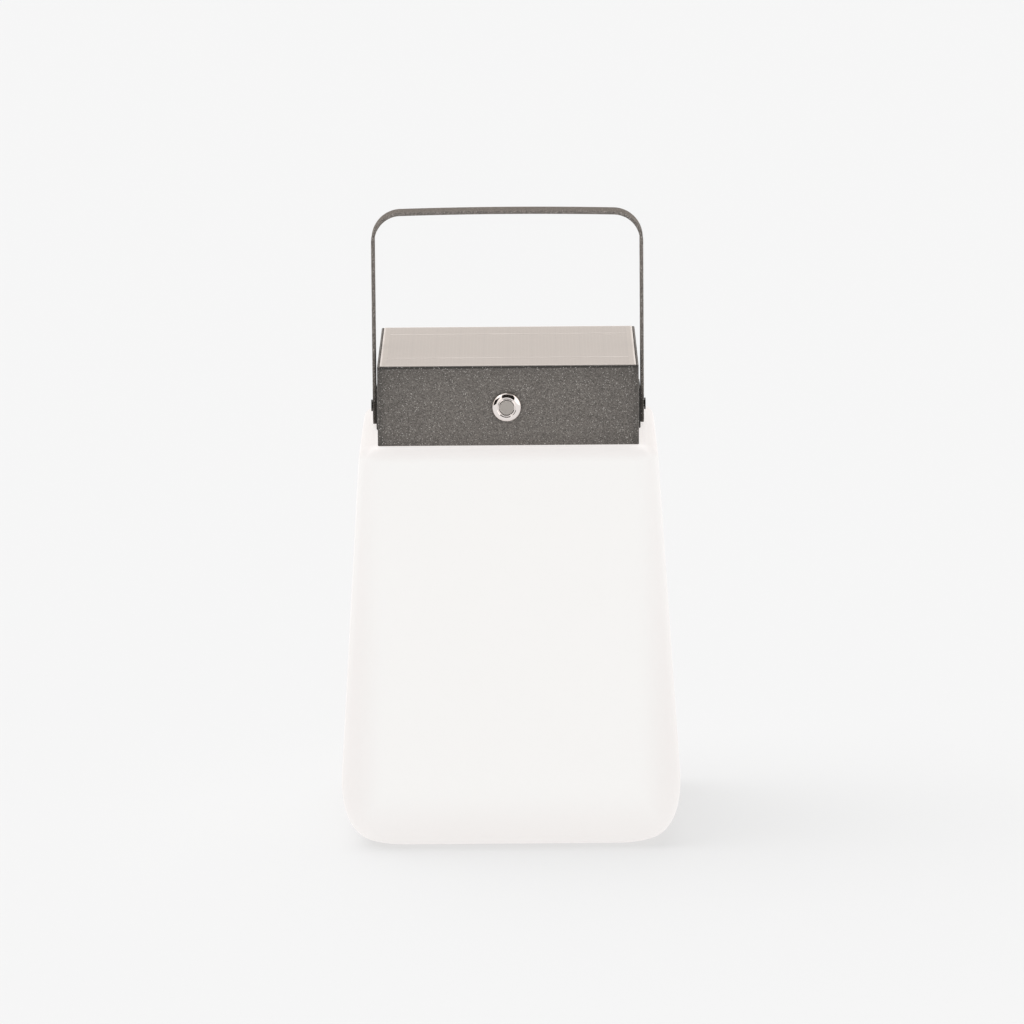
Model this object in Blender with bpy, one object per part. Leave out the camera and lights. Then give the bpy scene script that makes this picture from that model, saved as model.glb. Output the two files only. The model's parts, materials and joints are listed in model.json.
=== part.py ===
"""Solar table lantern.

A hollow moulded shade glows under a painted sheet-steel casing. The casing holds the solar panel, the
battery, the circuit board, the light and the push-button switch. A flat strip handle is hinged at its sides.

Metres, +Z up. The origin is the middle of the bottom face. The front, with the button, faces -Y.
"""

import math

import bmesh
import bpy
from mathutils import Matrix, Vector

MM = 0.001
GAP = 0.3 * MM
WELD = 0.001 * MM
ROUND_STEPS = 24
SMALL_ROUND_STEPS = 12

SHADE_HEIGHT = 241.5 * MM
SHADE_BOTTOM_HALF = 104.0 * MM
SHADE_TOP_HALF = 88.8 * MM
SHADE_WALL = 2.4 * MM
SHADE_FOOT_DRAW = 24.0 * MM
SHADE_FOOT_HEIGHT = 44.2 * MM
SHADE_FOOT_CORNER_RADIUS = 21.5 * MM
SHADE_RIM_RADIUS = 8.0 * MM
SHADE_CORNER_RADIUS = 14.9 * MM
NECK_RADIUS = 40.0 * MM
BOSS_RADIUS = 6.5 * MM
BOSS_DEPTH = 9.0 * MM
BOSS_PLACE = 57.0 * MM

SHEET = 1.2 * MM
SHEET_BEND_RADIUS = 1.3 * MM
CASING_HALF = 77.7 * MM
CASING_BOTTOM = SHADE_HEIGHT + GAP
CASING_TOP = CASING_BOTTOM + 47.6 * MM
CASING_INNER_HALF = CASING_HALF - SHEET
FLOOR_BOTTOM = CASING_BOTTOM + 1.3 * MM
FLOOR_TOP = FLOOR_BOTTOM + SHEET
FLOOR_HALF = CASING_INNER_HALF - GAP
FLOOR_OPENING_RADIUS = 32.6 * MM

PIVOT_HEIGHT = CASING_BOTTOM + 12.0 * MM
HANDLE_TOP = CASING_BOTTOM + 131.4 * MM
HANDLE_BOW = 0.8 * MM
HANDLE_HALF = 81.9 * MM
HANDLE_WIDTH = 19.0 * MM
HANDLE_THICKNESS = 2.0 * MM
HANDLE_BEND_RADIUS = 18.0 * MM
HANDLE_END_BELOW_PIVOT = 11.3 * MM
PLATE_INNER = CASING_HALF + GAP
PLATE_OUTER = HANDLE_HALF - HANDLE_THICKNESS - GAP
PLATE_LENGTH = 38.0 * MM
PLATE_HEIGHT = 24.3 * MM
PIVOT_SHANK_RADIUS = 2.0 * MM
PIVOT_HOLE_RADIUS = PIVOT_SHANK_RADIUS + GAP
PIVOT_HEAD_RADIUS = 3.55 * MM
PIVOT_HEAD_HEIGHT = 0.8 * MM
PIVOT_SOCKET_RADIUS = 1.2 * MM
PIVOT_SOCKET_DEPTH = 1.6 * MM

PANEL_TOP = CASING_TOP + 0.4 * MM
COVER_THICKNESS = 1.0 * MM
CELL_THICKNESS = 0.3 * MM
RIBBON_RISE = 0.2 * MM
BOARD_THICKNESS = 2.0 * MM
COVER_HALF = CASING_INNER_HALF - GAP
BOARD_HALF = CASING_INNER_HALF - 1.6 * MM
CELL_COUNT = 10
CELL_GAP = 0.6 * MM
CELL_FIELD_HALF = 72.5 * MM
RIBBON_PLACE = 47.0 * MM
RIBBON_WIDTH = 2.0 * MM
RIBBON_HALF_LENGTH = 72.0 * MM

SWITCH_PLACE = -0.9 * MM
SWITCH_HEIGHT = CASING_BOTTOM + 23.2 * MM
SWITCH_FACE = CASING_HALF + 3.6 * MM
BEZEL_RADIUS = 8.7 * MM
LIP_RADIUS = 5.7 * MM
CAP_RADIUS = 4.35 * MM
BARREL_RADIUS = 7.8 * MM
BUTTON_TRAVEL = 2.0 * MM

LIGHT_PAN_BOTTOM = CASING_BOTTOM - 14.0 * MM
LIGHT_PAN_RADIUS = FLOOR_OPENING_RADIUS - GAP
LED_COUNT = 4
LED_RING_RADIUS = 16.0 * MM
CELL_RADIUS = 9.1 * MM
CELL_LENGTH = 65.0 * MM
BATTERY_PLACE = 53.0 * MM
CIRCUIT_PLACE = -53.0 * MM
CIRCUIT_BOTTOM = FLOOR_TOP + 6.6 * MM
CIRCUIT_THICKNESS = 1.6 * MM
STANDOFF_PLACE = 25.0 * MM


# Materials


def material(name, colour, roughness, metallic=0.0, glow=0.0):
    made = bpy.data.materials.new(name)
    made.use_nodes = True
    shader = made.node_tree.nodes["Principled BSDF"]
    shader.inputs["Base Color"].default_value = (*colour, 1.0)
    shader.inputs["Roughness"].default_value = roughness
    shader.inputs["Metallic"].default_value = metallic
    shader.inputs["Subsurface Weight"].default_value = glow
    return made


WHITE_PLASTIC = material("white_shade_plastic", (0.90, 0.88, 0.87), 0.45, glow=0.3)
PAINT = material("taupe_painted_steel", (0.155, 0.140, 0.128), 0.50, 0.3)
DARK_STEEL = material("blackened_steel", (0.03, 0.03, 0.03), 0.40, 0.8)
STEEL = material("zinc_plated_steel", (0.55, 0.55, 0.54), 0.35, 1.0)
CHROME = material("polished_bezel", (0.80, 0.80, 0.80), 0.08, 1.0)
SATIN = material("satin_button", (0.42, 0.40, 0.38), 0.45, 0.9)
BRASS = material("brass", (0.70, 0.50, 0.22), 0.35, 1.0)
RUBBER = material("black_rubber", (0.02, 0.02, 0.02), 0.80)
FOAM = material("grey_foam", (0.15, 0.15, 0.15), 0.95)
GLASS = material("panel_cover_sheet", (0.60, 0.62, 0.66), 0.10)
SILICON = material("silicon_cells", (0.02, 0.03, 0.07), 0.30)
LAMINATE = material("laminate", (0.85, 0.85, 0.83), 0.60)
GREEN_BOARD = material("circuit_board", (0.02, 0.16, 0.06), 0.45)
BLACK_PLASTIC = material("black_plastic", (0.03, 0.03, 0.03), 0.50)
ALUMINIUM = material("aluminium", (0.75, 0.75, 0.76), 0.40, 1.0)
DIFFUSER = material("diffusing_plastic", (0.88, 0.87, 0.84), 0.50, glow=0.2)
LED_YELLOW = material("led_phosphor", (0.85, 0.70, 0.15), 0.40)
BATTERY_GREEN = material("battery_sleeve", (0.04, 0.22, 0.14), 0.35)
RED_WIRE = material("red_wire", (0.45, 0.02, 0.02), 0.45)
BLACK_WIRE = material("black_wire", (0.02, 0.02, 0.02), 0.45)


# Modelling helpers


def finish(name, mesh, look, location=(0, 0, 0), rotation=(0, 0, 0)):
    """Turns a bmesh into an object that is smooth on its round faces and sharp at its corners."""
    bmesh.ops.recalc_face_normals(mesh, faces=mesh.faces)
    data = bpy.data.meshes.new(name)
    mesh.to_mesh(data)
    mesh.free()
    data.materials.append(look)
    data.shade_smooth()
    data.set_sharp_from_angle(angle=math.radians(35))
    made = bpy.data.objects.new(name, data)
    made.location = location
    made.rotation_euler = rotation
    bpy.context.scene.collection.objects.link(made)
    return made


def rounded_ring(half_x, half_y, radius, height, corner_steps=6, side_steps=2):
    """Points of a level rectangle with round corners, anticlockwise from the middle of its +X side."""
    radius = min(radius, half_x, half_y)
    ring = []
    for quarter in range(4):
        corner_x = (half_x - radius) * (1 if quarter in (0, 3) else -1)
        corner_y = (half_y - radius) * (1 if quarter in (0, 1) else -1)
        for step in range(corner_steps + 1):
            angle = (quarter + step / corner_steps) * math.pi / 2
            x = corner_x + radius * math.cos(angle)
            y = corner_y + radius * math.sin(angle)
            ring.append(Vector((x, y, height)))
    per_corner = corner_steps + 1
    whole = []
    for quarter in range(4):
        arc = ring[quarter * per_corner : (quarter + 1) * per_corner]
        following = ring[((quarter + 1) % 4) * per_corner]
        whole += arc
        whole += [arc[-1].lerp(following, step / side_steps) for step in range(1, side_steps)]
    turn = side_steps // 2
    return whole[-turn:] + whole[:-turn]


def round_ring(radius, height, count):
    angles = [2 * math.pi * index / count for index in range(count)]
    return [Vector((radius * math.cos(angle), radius * math.sin(angle), height)) for angle in angles]


def joined_rings(mesh, rings, closed):
    """Bridges each ring of points to the next, and closes the ends with faces or with each other."""
    loops = [[mesh.verts.new(point) for point in ring] for ring in rings]
    pairs = list(zip(loops, loops[1:]))
    if closed:
        pairs.append((loops[-1], loops[0]))
    for lower, upper in pairs:
        count = len(lower)
        for index in range(count):
            after = (index + 1) % count
            mesh.faces.new((lower[index], lower[after], upper[after], upper[index]))
    if not closed:
        mesh.faces.new(loops[0])
        mesh.faces.new(loops[-1])


def frame(name, profile, look, corner_steps=2, **place):
    """A square ring whose cross-section is a closed profile of (half width, height) points."""
    outermost = max(half for half, _ in profile)
    rings = []
    for half, height in profile:
        corner = max(SHEET_BEND_RADIUS - (outermost - half), 0.3 * MM)
        rings.append(rounded_ring(half, half, corner, height, corner_steps))
    mesh = bmesh.new()
    joined_rings(mesh, rings, closed=True)
    return finish(name, mesh, look, **place)


def rectangle(inner, outer, bottom, top):
    return [(outer, bottom), (outer, top), (inner, top), (inner, bottom)]


def turned(name, profile, look, steps=ROUND_STEPS, **place):
    """A solid of revolution about its own Z. A profile of (radius, height) points that starts and ends on
    the axis makes a solid piece, and any other profile closes on itself and makes a ring."""
    mesh = bmesh.new()
    corners = [mesh.verts.new((radius, 0, height)) for radius, height in profile]
    solid = profile[0][0] == 0 and profile[-1][0] == 0
    ends = corners[1:] if solid else corners[1:] + corners[:1]
    edges = [mesh.edges.new(pair) for pair in zip(corners, ends)]
    bmesh.ops.spin(
        mesh,
        geom=corners + edges,
        axis=(0, 0, 1),
        cent=(0, 0, 0),
        angle=2 * math.pi,
        steps=steps,
        use_merge=True,
    )
    bmesh.ops.remove_doubles(mesh, verts=mesh.verts, dist=WELD)
    return finish(name, mesh, look, **place)


def block(name, size, look, bevel=0.0, **place):
    mesh = bmesh.new()
    bmesh.ops.create_cube(mesh, size=1.0)
    bmesh.ops.scale(mesh, vec=size, verts=mesh.verts)
    if bevel:
        bmesh.ops.bevel(mesh, geom=mesh.edges, offset=bevel, segments=1, affect="EDGES")
    return finish(name, mesh, look, **place)


def extruded(name, outline, length, look, **place):
    """An outline of (x, y) points drawn out along its own Z."""
    mesh = bmesh.new()
    rings = [[Vector((x, y, height)) for x, y in outline] for height in (0, length)]
    joined_rings(mesh, rings, closed=False)
    return finish(name, mesh, look, **place)


def nut(name, across_flats, bore_radius, thickness, look, **place):
    """A hexagon nut, its hexagon given by the same number of points as its round bore."""
    count = ROUND_STEPS
    flat = across_flats / 2

    def hexagon(height):
        points = []
        for index in range(count):
            angle = 2 * math.pi * index / count
            reach = flat / math.cos(angle % (math.pi / 3) - math.pi / 6)
            points.append(Vector((reach * math.cos(angle), reach * math.sin(angle), height)))
        return points

    mesh = bmesh.new()
    rings = [hexagon(0), hexagon(thickness)]
    rings += [round_ring(bore_radius, thickness, count), round_ring(bore_radius, 0, count)]
    joined_rings(mesh, rings, closed=True)
    return finish(name, mesh, look, **place)


def screw(name, head_radius, head_height, shank_radius, shank_length, look, drive=1.6 * MM, **place):
    """A pan-head screw with a round drive recess. Its Z = 0 is the underside of the head."""
    profile = [
        (0, 0.6 * head_height),
        (drive, head_height),
        (0.75 * head_radius, 0.85 * head_height),
        (head_radius, 0.3 * head_height),
        (head_radius, 0),
        (shank_radius, 0),
        (shank_radius, -shank_length),
        (0, -shank_length),
    ]
    return turned(name, profile, look, SMALL_ROUND_STEPS, **place)


def cylinders(mesh, places, radius, length, turn):
    segments = SMALL_ROUND_STEPS if radius < BOSS_RADIUS else 2 * ROUND_STEPS
    for place in places:
        bmesh.ops.create_cone(
            mesh,
            cap_ends=True,
            segments=segments,
            radius1=radius,
            radius2=radius,
            depth=length,
            matrix=Matrix.Translation(place) @ turn,
        )


def cut(target, name, places, radius, length, turn=Matrix(), operation="DIFFERENCE"):
    """Cuts round holes into the target, or adds round bosses to it, at world places."""
    mesh = bmesh.new()
    cylinders(mesh, places, radius, length, turn)
    cutter = finish(name, mesh, RUBBER)
    cutter.hide_render = True
    cutter.display_type = "WIRE"
    modifier = target.modifiers.new(name, "BOOLEAN")
    modifier.operation = operation
    modifier.object = cutter


def wire(name, places, radius, look):
    """A lead that runs through the given places on one smooth curve."""
    knots = [Vector(place) for place in places]
    ends = [2 * knots[0] - knots[1], *knots, 2 * knots[-1] - knots[-2]]
    points = []
    for before, start, stop, after in zip(ends, ends[1:], ends[2:], ends[3:]):
        for step in range(4):
            t = step / 4
            pull = (stop - before) * t + (2 * before - 5 * start + 4 * stop - after) * t**2
            points.append(start + 0.5 * (pull + (3 * start - before - 3 * stop + after) * t**3))
    points.append(knots[-1])
    curve = bpy.data.curves.new(name, "CURVE")
    curve.dimensions = "3D"
    curve.bevel_depth = radius
    curve.bevel_resolution = 1
    curve.use_fill_caps = True
    spline = curve.splines.new("POLY")
    spline.points.add(len(points) - 1)
    for slot, point in zip(spline.points, points):
        slot.co = (*point, 1.0)
    curve.materials.append(look)
    made = bpy.data.objects.new(name, curve)
    bpy.context.scene.collection.objects.link(made)


ALONG_X = Matrix.Rotation(math.pi / 2, 4, "Y")
ALONG_Y = Matrix.Rotation(math.pi / 2, 4, "X")
FACING_FRONT = (math.pi / 2, 0, 0)


def facing(side):
    """The rotation that turns a piece's own Z outwards, to the right (+1) or the left (-1)."""
    return (0, side * math.pi / 2, 0)


# The shade


def shade_profile(foot_steps, rim_steps):
    """(half width, height, corner radius) up the outside, from the flat bottom to the flat top. The foot is
    a quarter of an ellipse and the rim a quarter of a circle, both on the sloping side."""
    slope = (SHADE_BOTTOM_HALF - SHADE_TOP_HALF) / SHADE_HEIGHT
    profile = []
    for step in range(foot_steps + 1):
        share = step / foot_steps
        angle = share * math.pi / 2
        height = SHADE_FOOT_HEIGHT * (1 - math.cos(angle))
        half = SHADE_BOTTOM_HALF - slope * height - SHADE_FOOT_DRAW * (1 - math.sin(angle))
        growth = (SHADE_FOOT_CORNER_RADIUS - SHADE_CORNER_RADIUS) * (1 - share) ** 2
        profile.append((half, height, SHADE_CORNER_RADIUS + growth))
    for step in range(rim_steps + 1):
        angle = step / rim_steps * math.pi / 2
        height = SHADE_HEIGHT - SHADE_RIM_RADIUS * (1 - math.sin(angle))
        half = SHADE_BOTTOM_HALF - slope * height - SHADE_RIM_RADIUS * (1 - math.cos(angle))
        profile.append((half, height, SHADE_CORNER_RADIUS))
    return profile


def drawn_in(profile, wall):
    """The same profile moved inwards by the wall thickness, square to its own direction."""
    reach = 1 * MM
    before_first = (profile[0][0] - reach, profile[0][1])
    after_last = (profile[-1][0] - reach, profile[-1][1])
    line = [before_first, *[(half, height) for half, height, _ in profile], after_last]
    inner = []
    for before, (half, height, corner), after in zip(line, profile, line[2:]):
        along = (Vector(after) - Vector(before)).normalized()
        inner.append((half - wall * along.y, height + wall * along.x, corner - wall))
    return inner


def make_shade():
    corner_steps, side_steps = 5, 4
    count = 4 * (corner_steps + side_steps)

    def rings(profile):
        return [rounded_ring(half, half, corner, z, corner_steps, side_steps) for half, z, corner in profile]

    edge = 0.5 * MM
    neck = [
        round_ring(NECK_RADIUS + edge, SHADE_HEIGHT, count),
        round_ring(NECK_RADIUS, SHADE_HEIGHT - edge, count),
        round_ring(NECK_RADIUS, SHADE_HEIGHT - SHADE_WALL, count),
    ]
    mesh = bmesh.new()
    outside = rings(shade_profile(9, 4))
    inside = rings(drawn_in(shade_profile(5, 3), SHADE_WALL))
    joined_rings(mesh, outside + neck + inside[::-1], closed=False)
    shade = finish("shade", mesh, WHITE_PLASTIC)
    corners = [(x, y) for x in (-BOSS_PLACE, BOSS_PLACE) for y in (-BOSS_PLACE, BOSS_PLACE)]
    boss_top = SHADE_HEIGHT - 0.5 * SHADE_WALL
    boss_bottom = SHADE_HEIGHT - SHADE_WALL - BOSS_DEPTH
    middles = [(x, y, (boss_top + boss_bottom) / 2) for x, y in corners]
    cut(shade, "shade_bosses", middles, BOSS_RADIUS, boss_top - boss_bottom, operation="UNION")
    bore = 3.0 * MM + GAP
    bore_depth = SHADE_WALL + BOSS_DEPTH - 1.5 * MM
    tops = [(x, y, SHADE_HEIGHT) for x, y in corners]
    cut(shade, "shade_insert_bores", tops, bore, 2 * bore_depth)
    return corners


def make_shade_fixings(corners):
    insert_length = 7.5 * MM
    insert = rectangle(1.8 * MM + GAP, 3.0 * MM, 0, insert_length)
    gasket = rectangle(68 * MM, FLOOR_HALF, CASING_BOTTOM, FLOOR_BOTTOM - GAP)
    frame("shade_gasket", gasket, FOAM)
    for number, (x, y) in enumerate(corners, 1):
        insert_place = (x, y, SHADE_HEIGHT - GAP - insert_length)
        turned(f"shade_insert_{number}", insert, BRASS, SMALL_ROUND_STEPS, location=insert_place)
        screw_place = (x, y, FLOOR_TOP + GAP)
        screw(f"shade_screw_{number}", 3.8 * MM, 2.6 * MM, 1.8 * MM, 11.0 * MM, STEEL, location=screw_place)


# The casing and its floor


def make_casing():
    outer, inner, top = CASING_HALF, CASING_INNER_HALF, CASING_TOP
    edge, fine = 0.4 * MM, 0.12 * MM
    profile = [
        (outer, CASING_BOTTOM + edge),
        (outer, top - edge),
        (outer - fine, top - fine),
        (outer - edge, top),
        (inner + edge, top),
        (inner + fine, top - fine),
        (inner, top - edge),
        (inner, CASING_BOTTOM),
        (outer - edge, CASING_BOTTOM),
    ]
    casing = frame("casing", profile, PAINT, corner_steps=5)
    front = [(SWITCH_PLACE, -CASING_HALF, SWITCH_HEIGHT)]
    cut(casing, "switch_hole", front, BARREL_RADIUS + GAP, 10 * MM, ALONG_Y)
    sides = [(side * CASING_HALF, 0, PIVOT_HEIGHT) for side in (-1, 1)]
    cut(casing, "casing_pivot_holes", sides, PIVOT_HOLE_RADIUS, 10 * MM, ALONG_X)


def make_floor(corners):
    """A sheet with its left and right edges turned up against the casing's sides."""
    half, inner, flange = FLOOR_HALF, FLOOR_HALF - SHEET, 22 * MM
    bend = 1.0 * MM
    outline = [
        (-half + bend, 0),
        (half - bend, 0),
        (half, bend),
        (half, flange),
        (inner, flange),
        (inner, SHEET),
        (-inner, SHEET),
        (-inner, flange),
        (-half, flange),
        (-half, bend),
    ]
    place = (0, half, FLOOR_BOTTOM)
    floor = extruded("base_plate", outline, 2 * half, PAINT, location=place, rotation=FACING_FRONT)
    middle = FLOOR_BOTTOM + SHEET / 2
    depth = 4 * SHEET
    cut(floor, "light_opening", [(0, 0, middle)], FLOOR_OPENING_RADIUS, depth)
    cut(floor, "shade_screw_holes", [(x, y, middle) for x, y in corners], 2.2 * MM, depth)
    small = [(x, y, middle) for x, y in pan_screw_places()]
    small += [(CIRCUIT_PLACE, y, middle) for y in (-STANDOFF_PLACE, STANDOFF_PLACE)]
    cut(floor, "small_screw_holes", small, 1.6 * MM, depth)
    sides = [(side * half, 0, PIVOT_HEIGHT) for side in (-1, 1)]
    cut(floor, "flange_pivot_holes", sides, PIVOT_HOLE_RADIUS, 10 * MM, ALONG_X)


# The handle


def handle_path():
    """(x, z, nx, nz) along the strip's outer face: places, and the direction out of that face. The grip
    rises in a slight bow to its middle."""
    top = HANDLE_TOP - PIVOT_HEIGHT
    bottom = -HANDLE_END_BELOW_PIVOT
    bend_x, bend_z = HANDLE_HALF - HANDLE_BEND_RADIUS, top - HANDLE_BOW - HANDLE_BEND_RADIUS
    end_centre = bottom + HANDLE_WIDTH / 2
    end_angles = [math.radians(angle) for angle in (84, 70, 55, 40, 25, 12)]
    ends = [end_centre - HANDLE_WIDTH / 2 * math.sin(angle) for angle in end_angles]
    right = [(HANDLE_HALF, height, 1, 0) for height in [*ends, end_centre, 0.5 * bend_z]]
    bend_steps = 8
    for step in range(bend_steps + 1):
        angle = step / bend_steps * math.pi / 2
        across, up = math.cos(angle), math.sin(angle)
        right.append((bend_x + HANDLE_BEND_RADIUS * across, bend_z + HANDLE_BEND_RADIUS * up, across, up))
    for share in (0.75, 0.5, 0.25):
        right.append((share * bend_x, top - HANDLE_BOW * share**2, 0, 1))
    left = [(-x, z, -nx, nz) for x, z, nx, nz in right[::-1]]
    return [*right, (0, top, 0, 1), *left]


def make_handle():
    """The strip's width is drawn in round a half circle at each end of the legs."""
    end_radius = HANDLE_WIDTH / 2
    end_centre = end_radius - HANDLE_END_BELOW_PIVOT
    edge = 0.4 * MM
    rings = []
    for x, z, nx, nz in handle_path():
        below = max(end_centre - z, 0)
        half = math.sqrt(max(end_radius**2 - below**2, 0))
        outer = Vector((x, 0, z))
        inner = outer - HANDLE_THICKNESS * Vector((nx, 0, nz))
        inwards = (inner - outer).normalized() * edge
        corners = [(outer, half - edge), (outer + inwards, half)]
        corners += [(inner - inwards, half), (inner, half - edge)]
        ring = [point + Vector((0, y, 0)) for point, y in corners]
        ring += [point - Vector((0, y, 0)) for point, y in corners[::-1]]
        rings.append(ring)
    mesh = bmesh.new()
    joined_rings(mesh, rings, closed=False)
    handle = finish("handle", mesh, PAINT, location=(0, 0, PIVOT_HEIGHT))
    sides = [(side * HANDLE_HALF, 0, PIVOT_HEIGHT) for side in (-1, 1)]
    cut(handle, "handle_pivot_holes", sides, PIVOT_HOLE_RADIUS, 10 * MM, ALONG_X)


def pivot_screw_profile(shank_length):
    """A low flat head with a bevelled edge and a round socket. Its Z = 0 is the underside of the head."""
    radius, height, bevel, socket = PIVOT_HEAD_RADIUS, PIVOT_HEAD_HEIGHT, 0.2 * MM, PIVOT_SOCKET_RADIUS
    return [
        (0, height - PIVOT_SOCKET_DEPTH),
        (socket, height - PIVOT_SOCKET_DEPTH),
        (socket, height),
        (radius - bevel, height),
        (radius, height - bevel),
        (radius, 0),
        (PIVOT_SHANK_RADIUS, 0),
        (PIVOT_SHANK_RADIUS, -shank_length),
        (0, -shank_length),
    ]


def make_handle_fixings():
    plate_ring = [
        (point.x, point.y) for point in rounded_ring(PLATE_LENGTH / 2, PLATE_HEIGHT / 2, 1 * MM, 0, 2)
    ]
    for side, word in ((-1, "left"), (1, "right")):
        plate_place = (side * (PLATE_INNER + PLATE_OUTER) / 2, 0, CASING_BOTTOM + PLATE_HEIGHT / 2)
        thickness = PLATE_OUTER - PLATE_INNER
        plate = extruded(
            f"handle_plate_{word}",
            plate_ring,
            thickness,
            PAINT,
            location=Vector(plate_place) - Vector((thickness / 2, 0, 0)),
            rotation=(math.pi / 2, 0, math.pi / 2),
        )
        hole_place = [(plate_place[0], 0, PIVOT_HEIGHT)]
        cut(plate, f"plate_hole_{word}", hole_place, PIVOT_HOLE_RADIUS, 10 * MM, ALONG_X)
        turn = facing(side)
        profile = pivot_screw_profile(15.0 * MM)
        screw_place = (side * (HANDLE_HALF + GAP), 0, PIVOT_HEIGHT)
        turned(f"handle_screw_{word}", profile, DARK_STEEL, location=screw_place, rotation=turn)
        washer_face = FLOOR_HALF - SHEET - GAP
        washer_thickness, nut_thickness = 0.8 * MM, 3.2 * MM
        washer = rectangle(PIVOT_HOLE_RADIUS, 4.5 * MM, -washer_thickness, 0)
        washer_place = (side * washer_face, 0, PIVOT_HEIGHT)
        turned(
            f"handle_washer_{word}", washer, STEEL, SMALL_ROUND_STEPS, location=washer_place, rotation=turn
        )
        nut_place = (side * (washer_face - washer_thickness - GAP - nut_thickness), 0, PIVOT_HEIGHT)
        nut(
            f"handle_nut_{word}",
            7 * MM,
            PIVOT_HOLE_RADIUS,
            nut_thickness,
            STEEL,
            location=nut_place,
            rotation=turn,
        )


# The solar panel


def make_panel():
    cover_bottom = PANEL_TOP - COVER_THICKNESS
    cell_bottom = cover_bottom - GAP - RIBBON_RISE - CELL_THICKNESS
    board_top = cell_bottom - GAP
    board_bottom = board_top - BOARD_THICKNESS
    tape_bottom = board_bottom - GAP - 0.8 * MM
    middle = PANEL_TOP - COVER_THICKNESS / 2
    cover_size = (2 * COVER_HALF, 2 * COVER_HALF, COVER_THICKNESS)
    block("panel_cover", cover_size, GLASS, 0.25 * MM, location=(0, 0, middle))
    board_size = (2 * BOARD_HALF, 2 * BOARD_HALF, BOARD_THICKNESS)
    block("panel_board", board_size, LAMINATE, location=(0, 0, (board_top + board_bottom) / 2))
    make_cell_string(cell_bottom)
    tape = rectangle(CASING_INNER_HALF - 9 * MM, BOARD_HALF - GAP, tape_bottom, board_bottom - GAP)
    frame("panel_tape", tape, FOAM)
    bead = rectangle(BOARD_HALF + GAP, CASING_INNER_HALF - GAP, board_bottom, cover_bottom - GAP)
    frame("panel_sealant", bead, LAMINATE)
    ledge_top = tape_bottom - GAP
    thin = 1.2 * MM
    outer, inner, leg = CASING_INNER_HALF - GAP, CASING_INNER_HALF - 10 * MM, 6 * MM
    ledge = [
        (outer, ledge_top - leg),
        (outer, ledge_top),
        (inner, ledge_top),
        (inner, ledge_top - thin),
        (outer - thin, ledge_top - thin),
        (outer - thin, ledge_top - leg),
    ]
    frame("panel_ledge", ledge, STEEL)
    return board_bottom


def make_cell_string(bottom):
    """The cells are strips side by side, and two ribbons soldered across them make them one piece."""
    pitch = 2 * CELL_FIELD_HALF / CELL_COUNT
    ribbon_bottom, ribbon_top = bottom + 0.1 * MM, bottom + CELL_THICKNESS + RIBBON_RISE
    size = (pitch - CELL_GAP, 2 * CELL_FIELD_HALF, CELL_THICKNESS)
    first = block("cell_string", size, SILICON)
    first.location = (pitch / 2 - CELL_FIELD_HALF, 0, bottom + CELL_THICKNESS / 2)
    mesh = bmesh.new()
    for index in range(1, CELL_COUNT):
        centre = Vector(((index + 0.5) * pitch - CELL_FIELD_HALF, 0, bottom + CELL_THICKNESS / 2))
        bmesh.ops.create_cube(mesh, size=1.0, matrix=Matrix.LocRotScale(centre, None, size))
    ribbon_size = (2 * RIBBON_HALF_LENGTH, RIBBON_WIDTH, ribbon_top - ribbon_bottom)
    ribbons = bmesh.new()
    for y in (-RIBBON_PLACE, RIBBON_PLACE):
        centre = Vector((0, y, (ribbon_top + ribbon_bottom) / 2))
        bmesh.ops.create_cube(ribbons, size=1.0, matrix=Matrix.LocRotScale(centre, None, ribbon_size))
    for name, shapes in (("other_cells", mesh), ("cell_ribbons", ribbons)):
        added = finish(name, shapes, SILICON)
        added.hide_render = True
        added.display_type = "WIRE"
        modifier = first.modifiers.new(name, "BOOLEAN")
        modifier.operation = "UNION"
        modifier.object = added


# The push-button switch, drawn with its own Z pointing out of the casing's front


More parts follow.
